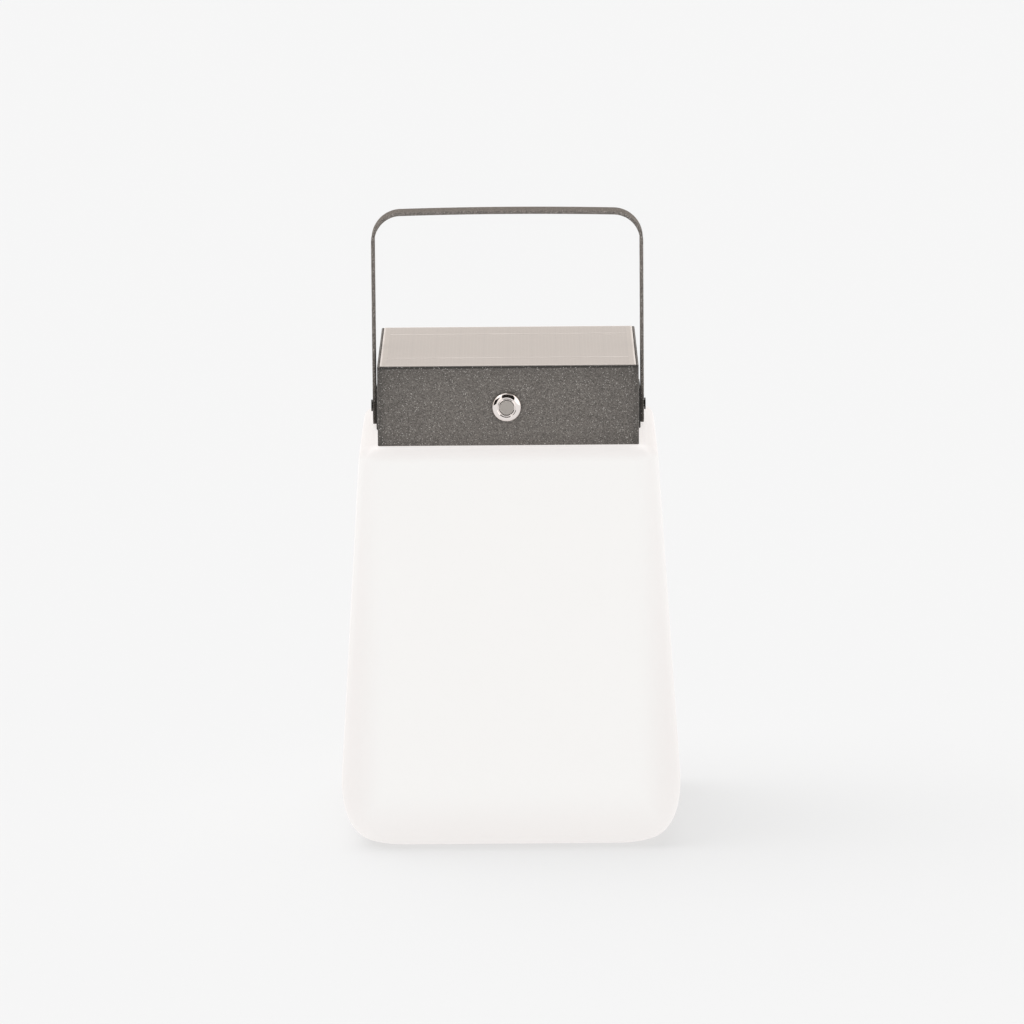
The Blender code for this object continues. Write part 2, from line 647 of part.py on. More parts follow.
def make_switch():
    """Returns where a lead meets the left terminal."""
    centre = (SWITCH_PLACE, -CASING_HALF, SWITCH_HEIGHT)
    at_front = {"location": centre, "rotation": FACING_FRONT}
    face = SWITCH_FACE - CASING_HALF
    seal = 0.5 * MM
    bezel_back = seal + 2 * GAP
    bore = CAP_RADIUS + GAP
    stem = 2.0 * MM
    cap_front, cap_back = face - 0.1 * MM, face - 4.4 * MM
    pressed_spring = 2.2 * MM
    shelf, rear = cap_back - BUTTON_TRAVEL - pressed_spring, -20.0 * MM
    stem_end = rear + BUTTON_TRAVEL + 1.0 * MM
    body = [
        (bore, face - 0.5 * MM),
        (bore + 0.3 * MM, face - 0.1 * MM),
        (LIP_RADIUS - 0.25 * MM, face),
        (LIP_RADIUS, face - 0.25 * MM),
        (LIP_RADIUS + 0.35 * MM, face - 0.7 * MM),
        (LIP_RADIUS + 0.8 * MM, face - 0.62 * MM),
        (LIP_RADIUS + 1.7 * MM, face - 0.85 * MM),
        (BEZEL_RADIUS - 0.7 * MM, face - 1.4 * MM),
        (BEZEL_RADIUS - 0.15 * MM, face - 2.0 * MM),
        (BEZEL_RADIUS, face - 2.4 * MM),
        (BEZEL_RADIUS, bezel_back),
        (BARREL_RADIUS, bezel_back),
        (BARREL_RADIUS, rear),
        (stem + GAP, rear),
        (stem + GAP, shelf),
        (bore, shelf),
    ]
    turned("switch_body", body, CHROME, 36, **at_front)
    seal_ring = rectangle(BARREL_RADIUS + GAP, BEZEL_RADIUS - 0.2 * MM, GAP, GAP + seal)
    turned("switch_seal", seal_ring, RUBBER, **at_front)
    cap = [
        (0, cap_front - 0.05 * MM),
        (0.7 * CAP_RADIUS, cap_front - 0.02 * MM),
        (CAP_RADIUS - 0.25 * MM, cap_front),
        (CAP_RADIUS, cap_front - 0.25 * MM),
        (CAP_RADIUS, cap_back),
        (stem, cap_back),
        (stem, stem_end),
        (0, stem_end),
    ]
    turned("button_cap", cap, SATIN, **at_front)
    make_button_spring(centre, shelf + GAP, cap_back - GAP)
    nut_depth = 2.5 * MM
    nut_front = -SHEET - GAP
    nut_place = (SWITCH_PLACE, -CASING_HALF - (nut_front - nut_depth), SWITCH_HEIGHT)
    nut_bore = BARREL_RADIUS + GAP
    nut("switch_nut", 19 * MM, nut_bore, nut_depth, STEEL, location=nut_place, rotation=FACING_FRONT)
    return make_contacts(-CASING_HALF - rear + GAP)


def make_button_spring(centre, low, high):
    """A compression spring round the button's stem, its axis along Y."""
    wire_radius, coil_radius, turns, steps = 0.22 * MM, 3.3 * MM, 4, SMALL_ROUND_STEPS
    rise = high - low - 2 * wire_radius
    curve = bpy.data.curves.new("button_spring", "CURVE")
    curve.dimensions = "3D"
    curve.bevel_depth = wire_radius
    curve.bevel_resolution = 1
    curve.use_fill_caps = True
    spline = curve.splines.new("POLY")
    spline.points.add(turns * steps)
    for index, slot in enumerate(spline.points):
        angle = 2 * math.pi * index / steps
        height = low + wire_radius + rise * index / (turns * steps)
        slot.co = (coil_radius * math.cos(angle), coil_radius * math.sin(angle), height, 1.0)
    curve.materials.append(STEEL)
    spring = bpy.data.objects.new("button_spring", curve)
    spring.location = centre
    spring.rotation_euler = FACING_FRONT
    bpy.context.scene.collection.objects.link(spring)


def make_contacts(front):
    """The contact block stands behind the switch body, with one terminal blade on each side of its back.
    Returns where a lead meets the left blade."""
    length = 7 * MM
    size = (11 * MM, length, 11 * MM)
    middle = (SWITCH_PLACE, front + length / 2, SWITCH_HEIGHT)
    block("contact_block", size, BLACK_PLASTIC, 0.4 * MM, location=middle)
    blade_length = 6 * MM
    blade_place = front + length + GAP + blade_length / 2
    for side, number in ((-1, 1), (1, 2)):
        blade_size = (0.8 * MM, blade_length, 2.8 * MM)
        place = (SWITCH_PLACE + side * 3 * MM, blade_place, SWITCH_HEIGHT)
        block(f"switch_terminal_{number}", blade_size, BRASS, location=place)
    return Vector((SWITCH_PLACE - 3 * MM, blade_place + blade_length / 2 + GAP, SWITCH_HEIGHT))


# The light


def pan_screw_places():
    reach = 35.2 * MM
    angles = [math.radians(angle) for angle in (90, 210, 330)]
    return [(reach * math.cos(angle), reach * math.sin(angle)) for angle in angles]


def make_light():
    radius, flange_radius, metal = LIGHT_PAN_RADIUS, 38.5 * MM, 1.2 * MM
    flange_bottom = FLOOR_TOP + GAP
    bottom = LIGHT_PAN_BOTTOM
    wire_hole = 2.0 * MM
    pan = [
        (wire_hole, bottom),
        (radius - 0.6 * MM, bottom),
        (radius, bottom + 0.6 * MM),
        (radius, flange_bottom),
        (flange_radius, flange_bottom),
        (flange_radius, flange_bottom + metal),
        (radius - metal, flange_bottom + metal),
        (radius - metal, bottom + metal),
        (wire_hole, bottom + metal),
    ]
    pan_object = turned("light_pan", pan, ALUMINIUM)
    holes = [(x, y, flange_bottom) for x, y in pan_screw_places()]
    cut(pan_object, "pan_screw_holes", holes, 1.6 * MM, 6 * MM)
    for number, (x, y) in enumerate(pan_screw_places(), 1):
        place = (x, y, flange_bottom + metal + GAP)
        name = f"light_screw_{number}"
        screw(name, 2.6 * MM, 1.8 * MM, 1.3 * MM, 4.5 * MM, STEEL, 1.1 * MM, location=place)
    board_top = bottom - GAP
    board_bottom = board_top - 1.6 * MM
    board = [(0, board_bottom), (26 * MM, board_bottom), (26 * MM, board_top), (0, board_top)]
    turned("led_board", board, LAMINATE)
    led_height = 1.2 * MM
    for number in range(1, LED_COUNT + 1):
        angle = 2 * math.pi * (number - 0.5) / LED_COUNT
        x, y = LED_RING_RADIUS * math.cos(angle), LED_RING_RADIUS * math.sin(angle)
        place = (x, y, board_bottom - GAP - led_height / 2)
        block(f"led_{number}", (3.5 * MM, 3.5 * MM, led_height), LED_YELLOW, 0.3 * MM, location=place)
    make_light_cover(bottom - GAP)


def make_light_cover(top):
    """A shallow translucent dome with an open top and a thin wall."""
    radius, depth, wall, steps = LIGHT_PAN_RADIUS, 15 * MM, 1.6 * MM, 6
    outer = []
    inner = []
    for step in range(steps + 1):
        angle = step / steps * math.pi / 2
        outer.append((radius * math.sin(angle), top - depth * math.cos(angle) ** 0.6))
        inner.append(((radius - wall) * math.sin(angle), top - (depth - wall) * math.cos(angle) ** 0.6))
    turned("light_cover", outer + inner[::-1], DIFFUSER)


# The battery, the circuit board and the wires inside the casing


def make_battery():
    base, wall, height = 1.5 * MM, 1.6 * MM, 11 * MM
    half_y = CELL_RADIUS + GAP + wall
    half_x = CELL_LENGTH / 2 + 5 * MM
    inner_x, inner_y = half_x - wall, half_y - wall
    bottom = FLOOR_TOP + GAP
    rings = [
        rounded_ring(half_x, half_y, 2 * MM, 0),
        rounded_ring(half_x, half_y, 2 * MM, height),
        rounded_ring(inner_x, inner_y, 0.6 * MM, height),
        rounded_ring(inner_x, inner_y, 0.6 * MM, base),
    ]
    mesh = bmesh.new()
    joined_rings(mesh, rings, closed=False)
    finish("battery_holder", mesh, BLACK_PLASTIC, location=(0, BATTERY_PLACE, bottom))
    axis_height = bottom + base + GAP + CELL_RADIUS
    half = CELL_LENGTH / 2
    nub = 2.8 * MM
    cell = [
        (0, -half),
        (CELL_RADIUS - 0.6 * MM, -half),
        (CELL_RADIUS, 0.6 * MM - half),
        (CELL_RADIUS, half - 2.2 * MM),
        (CELL_RADIUS - 0.8 * MM, half - 1.4 * MM),
        (nub, half - 1.4 * MM),
        (nub, half),
        (0, half),
    ]
    centre = (0, BATTERY_PLACE, axis_height)
    turned("battery_cell", cell, BATTERY_GREEN, location=centre, rotation=facing(1))
    contact_place = (half + inner_x) / 2
    contact_size = (inner_x - half - 2 * GAP, 10 * MM, 8 * MM)
    for side, word in ((-1, "minus"), (1, "plus")):
        place = (side * contact_place, BATTERY_PLACE, axis_height)
        block(f"battery_contact_{word}", contact_size, STEEL, 0.3 * MM, location=place)
    return Vector((-contact_place, BATTERY_PLACE, axis_height))


def make_circuit():
    standoff_height = CIRCUIT_BOTTOM - FLOOR_TOP - 2 * GAP
    board_size = (22 * MM, 60 * MM, CIRCUIT_THICKNESS)
    board_middle = CIRCUIT_BOTTOM + CIRCUIT_THICKNESS / 2
    board = block("circuit_board", board_size, GREEN_BOARD, location=(CIRCUIT_PLACE, 0, board_middle))
    ends = [(CIRCUIT_PLACE, y) for y in (-STANDOFF_PLACE, STANDOFF_PLACE)]
    cut(board, "circuit_screw_holes", [(x, y, board_middle) for x, y in ends], 1.6 * MM, 6 * MM)
    tube = rectangle(1.3 * MM + GAP, 3.0 * MM, 0, standoff_height)
    for number, (x, y) in enumerate(ends, 1):
        place = (x, y, FLOOR_TOP + GAP)
        turned(f"circuit_standoff_{number}", tube, BRASS, SMALL_ROUND_STEPS, location=place)
        place = (x, y, CIRCUIT_BOTTOM + CIRCUIT_THICKNESS + GAP)
        name = f"circuit_screw_{number}"
        screw(name, 2.6 * MM, 1.8 * MM, 1.3 * MM, 6.5 * MM, STEEL, 1.1 * MM, location=place)
    part_bottom = CIRCUIT_BOTTOM + CIRCUIT_THICKNESS + GAP
    chip_size = (6 * MM, 5 * MM, 1.6 * MM)
    chip_place = (CIRCUIT_PLACE - 4 * MM, -10 * MM, part_bottom + 0.8 * MM)
    block("driver_chip", chip_size, BLACK_PLASTIC, 0.2 * MM, location=chip_place)
    connector_size = (6 * MM, 20 * MM, 5 * MM)
    connector_place = Vector((CIRCUIT_PLACE + 5 * MM, 6 * MM, part_bottom + 2.5 * MM))
    block("board_connector", connector_size, LAMINATE, 0.3 * MM, location=connector_place)
    return connector_place + Vector((0, 0, 2.5 * MM + GAP))


def make_wires(panel_bottom, battery_end, socket, switch_end):
    """Four leads from the top of the board's connector, each a gap away from what it meets."""
    thick = 0.8 * MM
    up = Vector((0, 0, 9 * MM))
    start = socket + Vector((0, 7 * MM, 0))
    end = Vector((-62 * MM, 22 * MM, panel_bottom - GAP))
    wire("panel_wire", [start, start + up, end - up, end], thick, RED_WIRE)
    start = socket + Vector((0, 3 * MM, 0))
    end = battery_end + Vector((0, 0, 4 * MM + GAP))
    over = Vector((-38 * MM, 34 * MM, 271 * MM))
    wire("battery_wire", [start, start + up, over, end + up, end], thick, RED_WIRE)
    start = socket + Vector((0, -7 * MM, 0))
    between = Vector((-34 * MM, -22 * MM, 266 * MM))
    behind = switch_end + Vector((-3 * MM, 6 * MM, 0))
    wire("switch_wire", [start, start + up, between, behind, switch_end], thick, BLACK_WIRE)
    start = socket + Vector((0, -2 * MM, 0))
    end = Vector((0, 0, LIGHT_PAN_BOTTOM))
    between = Vector((-28 * MM, 4 * MM, 264 * MM))
    wire("led_wire", [start, start + up, between, end + 2.2 * up, end], thick, BLACK_WIRE)


def main():
    for left_over in list(bpy.data.objects):
        bpy.data.objects.remove(left_over)
    corners = make_shade()
    make_shade_fixings(corners)
    make_casing()
    make_floor(corners)
    make_handle()
    make_handle_fixings()
    panel_bottom = make_panel()
    switch_end = make_switch()
    make_light()
    battery_end = make_battery()
    socket = make_circuit()
    make_wires(panel_bottom, battery_end, socket, switch_end)


main()
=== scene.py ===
"""The looks of the solar lantern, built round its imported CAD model. Metres, front towards -Y."""

import json
import math

import bmesh
import bpy
from mathutils import Matrix, Vector


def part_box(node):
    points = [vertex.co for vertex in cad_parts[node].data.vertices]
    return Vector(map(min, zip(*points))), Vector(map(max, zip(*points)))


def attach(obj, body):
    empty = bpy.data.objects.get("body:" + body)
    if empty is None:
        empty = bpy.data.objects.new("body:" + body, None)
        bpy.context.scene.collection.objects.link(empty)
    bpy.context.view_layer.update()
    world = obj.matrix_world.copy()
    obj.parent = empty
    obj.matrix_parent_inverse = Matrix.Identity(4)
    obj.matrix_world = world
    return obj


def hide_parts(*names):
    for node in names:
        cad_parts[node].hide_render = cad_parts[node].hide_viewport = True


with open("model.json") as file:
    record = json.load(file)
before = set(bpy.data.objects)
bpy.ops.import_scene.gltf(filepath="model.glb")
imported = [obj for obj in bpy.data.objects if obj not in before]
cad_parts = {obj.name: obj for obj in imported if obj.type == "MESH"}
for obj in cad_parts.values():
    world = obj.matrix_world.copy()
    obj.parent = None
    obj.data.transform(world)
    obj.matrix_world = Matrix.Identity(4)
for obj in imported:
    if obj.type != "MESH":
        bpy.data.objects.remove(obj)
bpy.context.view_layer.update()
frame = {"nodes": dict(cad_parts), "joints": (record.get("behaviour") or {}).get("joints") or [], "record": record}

MM = 0.001
LOWER, UPPER = 0, 1

shade_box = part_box("shade")
casing_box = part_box("casing")
handle_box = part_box("handle")
cover_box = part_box("panel_cover")
cells_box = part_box("cell_string")
bezel_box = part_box("switch_body")
button_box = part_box("button_cap")

CASING_TOP = casing_box[UPPER].z
CASING_BOTTOM = casing_box[LOWER].z
CASING_HALF = casing_box[UPPER].x
SHEET = 1.2 * MM
SWITCH_HOLE_RADIUS = 8.1 * MM
PIVOT_HOLE_RADIUS = 2.3 * MM
THROUGH = 10 * MM
PIVOT = next(Vector(joint["pos_m"]) for joint in frame["joints"] if joint["type"] == "hinge")
bezel_middle = (bezel_box[LOWER] + bezel_box[UPPER]) / 2
SWITCH_CENTRE = Vector((bezel_middle.x, -CASING_HALF, bezel_middle.z))


# Materials: a small kit of shader nodes, then one function for each finish


class Look:
    """A procedural material. Lengths are in metres of the object's own coordinates."""

    def __init__(self, name, **settings):
        self.material = bpy.data.materials.new(name)
        self.material.use_nodes = True
        self.tree = self.material.node_tree
        self.shader = self.tree.nodes["Principled BSDF"]
        self.place = self.tree.nodes.new("ShaderNodeTexCoord").outputs["Object"]
        for socket, value in settings.items():
            self.set(socket.replace("_", " "), value)

    def set(self, socket, value):
        """Feeds a socket of the shader with a number, a colour or another node's output."""
        self.feed(self.shader.inputs[socket], value)
        return self

    def feed(self, socket, value):
        if isinstance(value, bpy.types.NodeSocket):
            self.tree.links.new(value, socket)
        elif isinstance(value, tuple) and len(value) == 3 and len(socket.default_value) == 4:
            socket.default_value = (*value, 1.0)
        else:
            socket.default_value = value

    def node(self, kind, **inputs):
        made = self.tree.nodes.new("ShaderNode" + kind)
        for name, value in inputs.items():
            self.feed(made.inputs[name], value)
        return made

    def math(self, operation, first, second=0.0):
        made = self.tree.nodes.new("ShaderNodeMath")
        made.operation = operation
        self.feed(made.inputs[0], first)
        self.feed(made.inputs[1], second)
        return made.outputs[0]

    def stretched(self, scale):
        """The place, scaled along each axis, which draws a texture out along the smaller scales."""
        made = self.tree.nodes.new("ShaderNodeVectorMath")
        made.operation = "MULTIPLY"
        self.feed(made.inputs[0], self.place)
        made.inputs[1].default_value = scale
        return made.outputs[0]

    def noise(self, size, detail=2.0, scale=(1, 1, 1)):
        """Soft noise from 0 to 1 with features of about this size."""
        made = self.node("TexNoise", Vector=self.stretched(scale), Scale=1 / size, Detail=detail)
        return made.outputs["Fac"]

    def grains(self, size):
        """Cells of this size: the distance from each cell's middle, and a colour that is random by cell."""
        made = self.node("TexVoronoi", Vector=self.place, Scale=1 / size)
        return made.outputs["Distance"], made.outputs["Color"]

    def channel(self, colour, index):
        return self.node("SeparateColor", Color=colour).outputs[index]

    def axis(self, index):
        return self.node("SeparateXYZ", Vector=self.place).outputs[index]

    def off_centre(self):
        """The distances from the lantern's two upright middle planes."""
        return [self.math("ABSOLUTE", self.axis(axis)) for axis in (0, 1)]

    def ramp(self, value, low, high, start=0.0, end=1.0):
        """start at low and end at high, smooth between them and level outside them."""
        made = self.tree.nodes.new("ShaderNodeMapRange")
        made.interpolation_type = "SMOOTHSTEP"
        for socket, number in zip(made.inputs[1:5], (low, high, start, end)):
            socket.default_value = number
        self.feed(made.inputs[0], value)
        return made.outputs[0]

    def lines(self, axis, pitch, width, offset=0.0):
        """1 on thin lines across this axis and 0 between them. A line lies on the offset."""
        turns = self.math("DIVIDE", self.math("SUBTRACT", self.axis(axis), offset), pitch)
        away = self.math("PINGPONG", turns, 0.5)
        half = 0.5 * width / pitch
        return self.ramp(away, 0.7 * half, 1.3 * half, 1.0, 0.0)

    def blend(self, share, first, second):
        made = self.tree.nodes.new("ShaderNodeMix")
        made.data_type = "RGBA"
        self.feed(made.inputs[0], share)
        self.feed(made.inputs[6], first)
        self.feed(made.inputs[7], second)
        return made.outputs[2]

    def scaled(self, colour, share, saturation=1.0):
        """A node's colour, made brighter or darker by this share and more or less strong."""
        return self.node("HueSaturation", Color=colour, Saturation=saturation, Value=share).outputs[0]

    def relief(self, height, depth):
        """Bump of this depth, on top of any bump that is already there."""
        bump = self.node("Bump", Height=height, Distance=depth)
        previous = self.shader.inputs["Normal"].links
        if previous:
            self.feed(bump.inputs["Normal"], previous[0].from_socket)
        self.set("Normal", bump.outputs["Normal"])
        return self


def half_width(box):
    return (box[UPPER].x - box[LOWER].x) / 2


def darker(colour, share):
    return tuple(share * part for part in colour)


def powder_coat(name, fleck=1.0, tone=1.0, casing=False, grip=False):
    """Taupe textured coat: a fine mottle, pale mica flecks and darker specks. On the casing, painted shade
    darkens it towards the folds, the top and bottom and the cut top edge. On the handle it is duller, its
    broad faces carry painted shade, darker and browner, its narrow edges a painted highlight, paler and with
    more flecks, and painted shade darkens it round the pivots."""
    look = Look(name, Roughness=0.46, Specular_IOR_Level=0.35)
    thin, thick = darker((0.176, 0.158, 0.142), tone), darker((0.196, 0.178, 0.161), tone)
    base = look.blend(look.noise(9 * MM), thin, thick)
    _, mottle = look.grains(0.45 * MM)
    base = look.blend(look.channel(mottle, 0), look.scaled(base, 0.45), look.scaled(base, 1.25))
    distance, colour = look.grains(0.55 * MM)
    near = look.ramp(distance, 0.20, 0.60, 1.0, 0.0)
    pale = look.math("MULTIPLY", near, look.ramp(look.channel(colour, 0), 0.84, 0.98, 0.0, fleck))
    dark = look.math("MULTIPLY", near, look.ramp(look.channel(colour, 1), 0.80, 0.95))
    base = look.blend(dark, base, (0.070, 0.062, 0.055))
    if casing:
        # Painted shade: the casing's coat darkens towards its folds, top, bottom and cut top edge.
        base = look.blend(casing_painted_shade(look), base, (0.030, 0.027, 0.024))
    if grip:
        # Painted highlight on the strip's narrow edges, paler and with more flecks; painted shade on its broad
        # faces.
        half = handle_box[UPPER].y
        edge = look.ramp(look.math("ABSOLUTE", look.axis(1)), half - 0.9 * MM, half - 0.3 * MM)
        shaded_broad_faces = look.scaled(base, 0.92, saturation=1.5)
        # Painted shade darkens the legs round the pivots.
        wear_and_painted_shade = look.ramp(look.axis(2), PIVOT.z + 2 * MM, PIVOT.z + 16 * MM, 0.65, 0.0)
        base = look.blend(edge, shaded_broad_faces, look.scaled(base, 1.3))
        base = look.blend(wear_and_painted_shade, base, (0.020, 0.018, 0.015))
        pale = look.math("MULTIPLY", pale, look.math("ADD", look.math("MULTIPLY", edge, 1.5), 0.5))
        look.set("Roughness", 0.65)
        look.set("Specular IOR Level", 0.2)
    base = look.blend(pale, base, (0.60, 0.57, 0.54))
    look.set("Base Color", base)
    look.set("Metallic", look.math("MULTIPLY", pale, 0.5))
    look.relief(look.noise(0.5 * MM, 3.0), 0.03 * MM)
    return look.relief(pale, 0.02 * MM).material


def casing_painted_shade(look):
    """How much painted shade darkens the coat: 0 in the middle of a side, more towards its folds, top
    and bottom, and most on the top edge.
    """
    place = look.math("MINIMUM", *look.off_centre())
    wide = look.ramp(place, CASING_HALF - 45 * MM, CASING_HALF + 8 * MM, 0.0, 0.20)
    fold = look.ramp(place, CASING_HALF - 7 * MM, CASING_HALF, 0.0, 0.30)
    upper = look.ramp(look.axis(2), CASING_TOP - 16 * MM, CASING_TOP, 0.0, 0.18)
    lower = look.ramp(look.axis(2), CASING_BOTTOM, CASING_BOTTOM + 9 * MM, 0.16, 0.0)
    # Painted shade: a dark band along the cut top edge.
    edge = look.ramp(look.axis(2), CASING_TOP - 1.7 * MM, CASING_TOP - 0.8 * MM, 0.0, 0.75)
    total = edge
    for part in (wide, fold, upper, lower):
        total = look.math("ADD", total, part)
    return look.math("MINIMUM", total, 0.9)


def shade_plastic():
    """White polyethylene: light goes a little way in, and the moulded skin is very finely pebbled. A painted
    glow evens out its shading; it is warmer where the wall turns, and a little stronger on the ledge round
    the casing, where it is painted light against the casing's shadow."""
    look = Look("shade_plastic", Roughness=0.6, Subsurface_Weight=0.2, Subsurface_Scale=1.6 * MM)
    look.set("Subsurface Radius", (1.0, 0.85, 0.8))
    look.set("Specular IOR Level", 0.2)
    look.set("Sheen Weight", 0.1)
    look.set("Sheen Tint", (1.0, 0.93, 0.90))
    across = look.off_centre()
    corner = look.ramp(look.math("MINIMUM", *across), 74 * MM, 96 * MM)
    foot = look.ramp(look.axis(2), 8 * MM, 40 * MM, 0.8, 0.0)
    rim = look.ramp(look.axis(2), shade_box[UPPER].z - 9 * MM, shade_box[UPPER].z - 3 * MM)
    near_casing = look.ramp(look.math("MAXIMUM", *across), CASING_HALF, CASING_HALF + 9 * MM, 0.15, 0.0)
    painted_ledge_light = look.math("MULTIPLY", rim, near_casing)
    turning = look.math("MAXIMUM", look.math("MAXIMUM", corner, foot), rim)
    # The emission is painted glow, and its rise on the ledge is painted light against the casing's shadow.
    look.set("Emission Color", look.blend(turning, SHADE_GLOW, SHADE_EDGE_GLOW))
    look.set("Emission Strength", look.math("ADD", SHADE_GLOW_STRENGTH, painted_ledge_light))
    look.set("Base Color", look.blend(look.noise(45 * MM), (0.325, 0.320, 0.315), (0.335, 0.330, 0.325)))
    look.relief(look.noise(26 * MM), 0.10 * MM)
    return look.relief(look.noise(0.8 * MM, 3.0), 0.012 * MM).material


def diffusing_plastic():
    look = Look("diffusing_plastic", Roughness=0.45, Subsurface_Weight=0.4, Subsurface_Scale=2 * MM)
    look.set("Base Color", look.blend(look.noise(8 * MM), (0.86, 0.85, 0.82), (0.90, 0.89, 0.86)))
    return look.relief(look.noise(0.7 * MM), 0.015 * MM).material


def polished_metal(name, colour):
    """Bright plating with a faint orange peel and a few duller, hairline-scratched patches."""
    look = Look(name, Metallic=1.0)
    look.set("Base Color", look.blend(look.noise(3 * MM), colour, darker(colour, 0.95)))
    look.set("Roughness", look.ramp(look.noise(0.6 * MM, 4.0), 0.35, 0.85, 0.035, 0.10))
    return look.relief(look.noise(1.5 * MM), 0.003 * MM).material


def turned_metal(name, colour, roughness, centre, axes):
    """Metal finished on a lathe: fine rings round the centre, in the plane of the two axes."""
    look = Look(name, Metallic=0.9)
    squares = []
    for axis in axes:
        away = look.math("SUBTRACT", look.axis(axis), centre[axis])
        squares.append(look.math("MULTIPLY", away, away))
    radius = look.math("SQRT", look.math("ADD", *squares))
    rings = look.math("SINE", look.math("MULTIPLY", radius, 2 * math.pi / (0.16 * MM)))
    streaks = look.noise(0.5 * MM, 3.0)
    look.set("Base Color", look.blend(streaks, colour, darker(colour, 0.88)))
    look.set("Roughness", look.ramp(streaks, 0.3, 0.7, roughness - 0.05, roughness + 0.08))
    return look.relief(look.math("MULTIPLY", rings, streaks), 0.0015 * MM).material


def plain_metal(name, colour, roughness=0.38):
    """Rolled or plated metal with faint streaks and dull spots."""
    look = Look(name, Metallic=1.0)
    streaks = look.noise(0.5 * MM, 4.0, scale=(1, 0.12, 1))
    look.set("Base Color", look.blend(streaks, colour, darker(colour, 0.8)))
    look.set("Roughness", look.ramp(look.noise(4 * MM, 3.0), 0.3, 0.7, roughness - 0.06, roughness + 0.1))
    return look.relief(streaks, 0.004 * MM).material


def moulded_plastic(name, colour, roughness=0.5):
    look = Look(name)
    look.set("Base Color", look.blend(look.noise(6 * MM, 3.0), colour, darker(colour, 0.82)))
    look.set("Roughness", look.ramp(look.noise(1.5 * MM, 3.0), 0.3, 0.7, roughness - 0.05, roughness + 0.08))
    return look.relief(look.noise(0.35 * MM), 0.01 * MM).material


def foam(name, colour):
    look = Look(name, Roughness=0.95)
    distance, _ = look.grains(0.5 * MM)
    look.set("Base Color", look.blend(look.ramp(distance, 0.1, 0.6), darker(colour, 0.5), colour))
    return look.relief(distance, 0.08 * MM).material


def circuit_green():
    """Solder mask over copper tracks that run along and across the board."""
    look = Look("circuit_green", Roughness=0.35, Coat_Weight=0.4)
    tracks = look.math("MAXIMUM", look.lines(0, 2.6 * MM, 0.5 * MM), look.lines(1, 4.1 * MM, 0.5 * MM))
    shown = look.math("MULTIPLY", tracks, look.ramp(look.noise(7 * MM), 0.46, 0.5))
    look.set("Base Color", look.blend(shown, (0.008, 0.095, 0.035), (0.03, 0.20, 0.07)))
    return look.relief(shown, 0.03 * MM).material


def battery_sleeve():
    """Shrink sleeve with one plain silver band, and faint lengthwise wrinkles."""
    look = Look("battery_sleeve", Roughness=0.3, Coat_Weight=0.5)
    wrinkles = look.noise(1.2 * MM, 3.0, scale=(0.1, 1, 1))
    green = look.blend(wrinkles, (0.02, 0.16, 0.10), (0.035, 0.22, 0.14))
    band = look.ramp(look.axis(0), 18 * MM, 18.4 * MM)
    look.set("Base Color", look.blend(band, green, (0.55, 0.56, 0.55)))
    return look.relief(wrinkles, 0.03 * MM).material


def led_phosphor():
    look = Look("led_phosphor", Roughness=0.35)
    distance, _ = look.grains(0.25 * MM)
    look.set("Base Color", look.blend(distance, (0.90, 0.62, 0.06), (0.95, 0.80, 0.22)))
    return look.relief(distance, 0.02 * MM).material


def wire_sleeve(name, colour):
    look = Look(name, Roughness=0.4)
    wear_and_painted_shade = tuple(0.7 * part + 0.01 for part in colour)
    look.set("Base Color", look.blend(look.noise(2 * MM, 3.0), colour, wear_and_painted_shade))
    return look.relief(look.noise(0.4 * MM), 0.02 * MM).material


def silicon(look, crystal_colours, finger_colour, gap_colour):
    """The colour of the cells: dark crystal, with thin fingers and a gap between strips."""
    field = cells_box[UPPER].x
    pitch = 2 * field / CELL_COUNT
    crystal = look.blend(look.noise(30 * MM), *crystal_colours)
    fingers = look.lines(0, pitch / FINGERS_PER_CELL, 0.18 * MM, -field)
    cells = look.blend(fingers, crystal, finger_colour)
    gaps = look.lines(0, pitch, 0.6 * MM, -field)
    return look.blend(gaps, cells, gap_colour), fingers


def silicon_cells():
    look = Look("silicon_cells", Roughness=0.3)
    blues = ((0.010, 0.014, 0.034), (0.016, 0.023, 0.054))
    colour, fingers = silicon(look, blues, (0.26, 0.27, 0.29), (0.045, 0.047, 0.052))
    look.set("Base Color", colour)
    return look.relief(fingers, 0.01 * MM).material


def panel_film():
    """The cells seen through a finely textured, hazy film, whose cut edge is pale."""
    look = Look("panel_film", **FILM_GLOSS)
    browns = ((0.150, 0.118, 0.100), (0.160, 0.128, 0.110))
    colour, fingers = silicon(look, browns, (0.20, 0.165, 0.145), (0.135, 0.108, 0.092))
    reach = look.math("MAXIMUM", *look.off_centre())
    border = look.ramp(reach, cells_box[UPPER].x - 0.1 * MM, cells_box[UPPER].x + 0.1 * MM)
    colour = look.blend(border, colour, (0.19, 0.155, 0.13))
    edge = look.ramp(reach, cover_box[UPPER].x - 1.6 * MM, cover_box[UPPER].x - 0.4 * MM)
    look.set("Base Color", look.blend(edge, colour, (0.62, 0.56, 0.52)))
    look.relief(fingers, 0.006 * MM)
    return look.relief(look.noise(0.5 * MM, 3.0), 0.02 * MM).material


def ribbon_film():
    """The film where it lies over a soldered ribbon: silver grey, with the solder's slight unevenness."""
    look = Look("ribbon_film", **FILM_GLOSS)
    solder = look.noise(5 * MM, 3.0, scale=(0.3, 1, 1))
    look.set("Base Color", look.blend(look.ramp(solder, 0.35, 0.65), (0.42, 0.38, 0.35), (0.58, 0.54, 0.50)))
    return look.relief(look.noise(0.5 * MM, 3.0), 0.02 * MM).material


# Meshes


